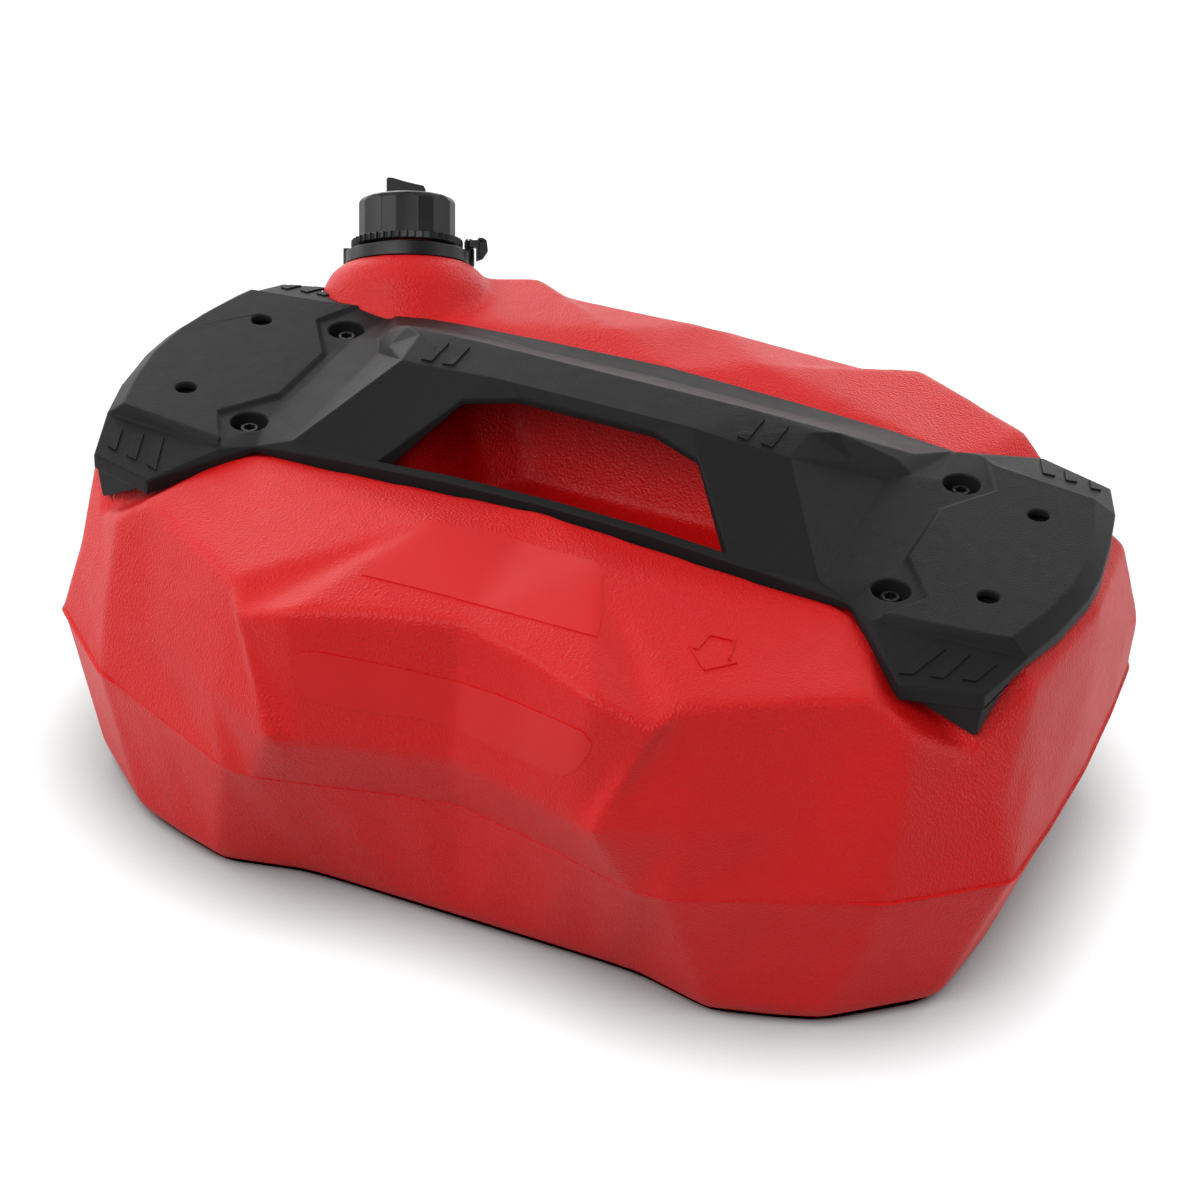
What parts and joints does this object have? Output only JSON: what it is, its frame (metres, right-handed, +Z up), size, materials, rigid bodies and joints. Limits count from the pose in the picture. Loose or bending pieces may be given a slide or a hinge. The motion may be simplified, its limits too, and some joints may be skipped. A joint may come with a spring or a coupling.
{
  "type": "gas can",
  "caption": "Low, wide blow-moulded fuel can with a faceted body, a screwed-on carry frame with a hand opening, and a tilted filler neck with a ratchet-toothed screw cap and latch lever.",
  "frame": {"origin": "centre of the footprint, on the ground under the can", "axes": "+X to the right along the length, -Y to the front where the hand opening is, +Z up"},
  "size_m": [0.446, 0.34, 0.1991],
  "materials": {
    "tank_plastic": "fine leather grain",
    "frame_plastic": "fine matte grain",
    "cap_plastic": "satin",
    "screw_metal": "black coated steel",
    "insert_brass": "machined",
    "plain_steel": "plain",
    "seal_rubber": "matte"
  },
  "bodies": {
    "can": {"tank_body": "tank_plastic", "handle_frame": "frame_plastic", "insert_front_left": "insert_brass", "insert_front_right": "insert_brass", "insert_back_left": "insert_brass", "insert_back_right": "insert_brass", "screw_front_left": "screw_metal", "screw_front_right": "screw_metal", "screw_back_left": "screw_metal", "screw_back_right": "screw_metal", "latch_ring": "cap_plastic", "latch_pin": "plain_steel", "latch_spring": "plain_steel", "pour_spout": "cap_plastic", "spout_gasket": "seal_rubber", "spout_screen": "plain_steel"},
    "stopper": {"stopper_disc": "cap_plastic", "stopper_gasket": "seal_rubber"},
    "nut": {"cap_nut": "cap_plastic"},
    "lever": {"latch_lever": "cap_plastic"}
  },
  "joints": [
    {"name": "cap_lift", "type": "slide", "parent": "can", "child": "stopper", "axis": [-0.2828, 0.5622, 0.7771], "range_m": [0, 0.012]},
    {"name": "cap_turn", "type": "hinge", "parent": "stopper", "child": "nut", "pos_m": [-0.1492, 0.1152, 0.1614], "axis": [-0.2828, 0.5622, 0.7771], "range_deg": [0, 1080]},
    {"name": "latch_lever_swing", "type": "hinge", "parent": "can", "child": "lever", "pos_m": [-0.12338, 0.12818, 0.1614], "axis": [-0.2828, 0.5622, 0.7771], "range_deg": [0, 18], "stiffness_Nm_per_rad": 0.02, "springref_deg": -11.46}
  ],
  "couplings": [
    {"joint": "cap_turn", "follows": "cap_lift", "rad_per_m": 1570.8}
  ]
}
